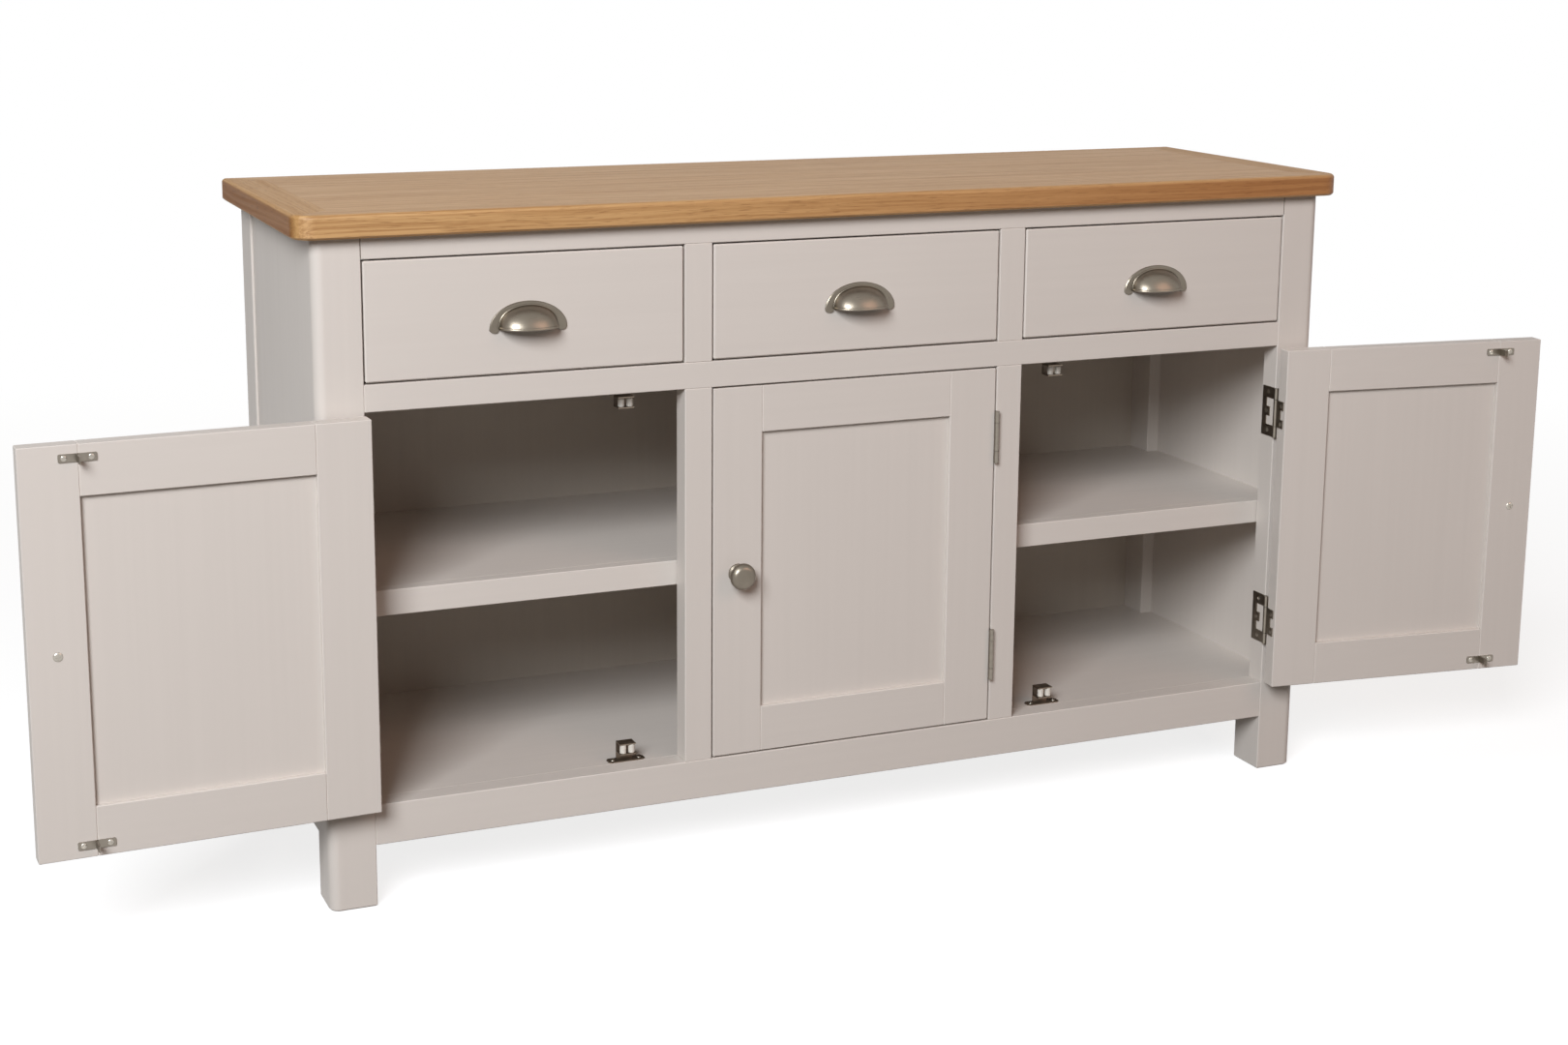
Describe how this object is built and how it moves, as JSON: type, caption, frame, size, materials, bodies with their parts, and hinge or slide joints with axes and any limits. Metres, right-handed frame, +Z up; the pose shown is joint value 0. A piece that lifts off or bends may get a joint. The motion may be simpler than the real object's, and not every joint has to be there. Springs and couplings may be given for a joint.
{
  "type": "sideboard",
  "caption": "Painted sideboard with a lipped oak top, inset drawers with cup pulls over inset shaker doors on flush hinges, and a long shelf inside.",
  "frame": {"origin": "on the floor, at the middle of the carcass's footprint", "axes": "+X to the right seen from the front, +Y from the front to the back, +Z up"},
  "size_m": [1.9429, 0.4849, 0.8],
  "materials": {
    "painted_timber": "brushed-on warm grey eggshell paint",
    "oak": "clear satin lacquer over oak",
    "bare_pine": "planed and sealed",
    "satin_nickel": "brushed satin nickel plate",
    "zinc_steel": "bright plated pressed steel",
    "dark_steel": "bronzed pressed steel",
    "white_nylon": "moulded nylon"
  },
  "bodies": {
    "carcass": {"front_left_post": "painted_timber", "front_right_post": "painted_timber", "back_left_post": "painted_timber", "back_right_post": "painted_timber", "left_side_panel": "painted_timber", "right_side_panel": "painted_timber", "back_panel": "painted_timber", "bottom_rail": "painted_timber", "middle_rail": "painted_timber", "top_rail": "painted_timber", "door_muntins": "painted_timber", "drawer_muntins": "painted_timber", "floor_board": "painted_timber", "dust_board": "painted_timber", "shelf_lipping": "painted_timber", "shelf_board": "painted_timber", "cleats": "painted_timber", "top_panel": "oak", "top_long_lippings": "oak", "top_end_lippings": "oak", "drawer_runners": "bare_pine", "hinge_frame_leaves": "zinc_steel", "catch_housings": "dark_steel", "catch_rollers": "white_nylon"},
    "left_door": {"left_door_stiles": "painted_timber", "left_door_rails": "painted_timber", "left_door_panel": "painted_timber", "left_door_knob": "satin_nickel", "left_door_strikes": "zinc_steel", "left_door_hinge_leaves": "zinc_steel"},
    "middle_door": {"middle_door_stiles": "painted_timber", "middle_door_rails": "painted_timber", "middle_door_panel": "painted_timber", "middle_door_knob": "satin_nickel", "middle_door_strikes": "zinc_steel", "middle_door_hinge_leaves": "zinc_steel"},
    "right_door": {"right_door_stiles": "painted_timber", "right_door_rails": "painted_timber", "right_door_panel": "painted_timber", "right_door_knob": "satin_nickel", "right_door_strikes": "zinc_steel", "right_door_hinge_leaves": "zinc_steel"},
    "left_drawer": {"left_drawer_front": "painted_timber", "left_drawer_sides": "bare_pine", "left_drawer_back": "bare_pine", "left_drawer_bottom": "bare_pine", "left_drawer_pull": "satin_nickel"},
    "middle_drawer": {"middle_drawer_front": "painted_timber", "middle_drawer_sides": "bare_pine", "middle_drawer_back": "bare_pine", "middle_drawer_bottom": "bare_pine", "middle_drawer_pull": "satin_nickel"},
    "right_drawer": {"right_drawer_front": "painted_timber", "right_drawer_sides": "bare_pine", "right_drawer_back": "bare_pine", "right_drawer_bottom": "bare_pine", "right_drawer_pull": "satin_nickel"}
  },
  "joints": [
    {"name": "left_door_hinge", "type": "hinge", "parent": "carcass", "child": "left_door", "pos_m": [-0.599, -0.2015, 0.35], "axis": [0, 0, 1], "range_deg": [-2, 178]},
    {"name": "middle_door_hinge", "type": "hinge", "parent": "carcass", "child": "middle_door", "pos_m": [0.18767, -0.2015, 0.35], "axis": [0, 0, 1], "range_deg": [0, 155]},
    {"name": "right_door_hinge", "type": "hinge", "parent": "carcass", "child": "right_door", "pos_m": [0.599, -0.2015, 0.35], "axis": [0, 0, -1], "range_deg": [-7, 173]},
    {"name": "left_drawer_slide", "type": "slide", "parent": "carcass", "child": "left_drawer", "axis": [0, -1, 0], "range_m": [0, 0.24]},
    {"name": "middle_drawer_slide", "type": "slide", "parent": "carcass", "child": "middle_drawer", "axis": [0, -1, 0], "range_m": [0, 0.24]},
    {"name": "right_drawer_slide", "type": "slide", "parent": "carcass", "child": "right_drawer", "axis": [0, -1, 0], "range_m": [0, 0.24]}
  ]
}
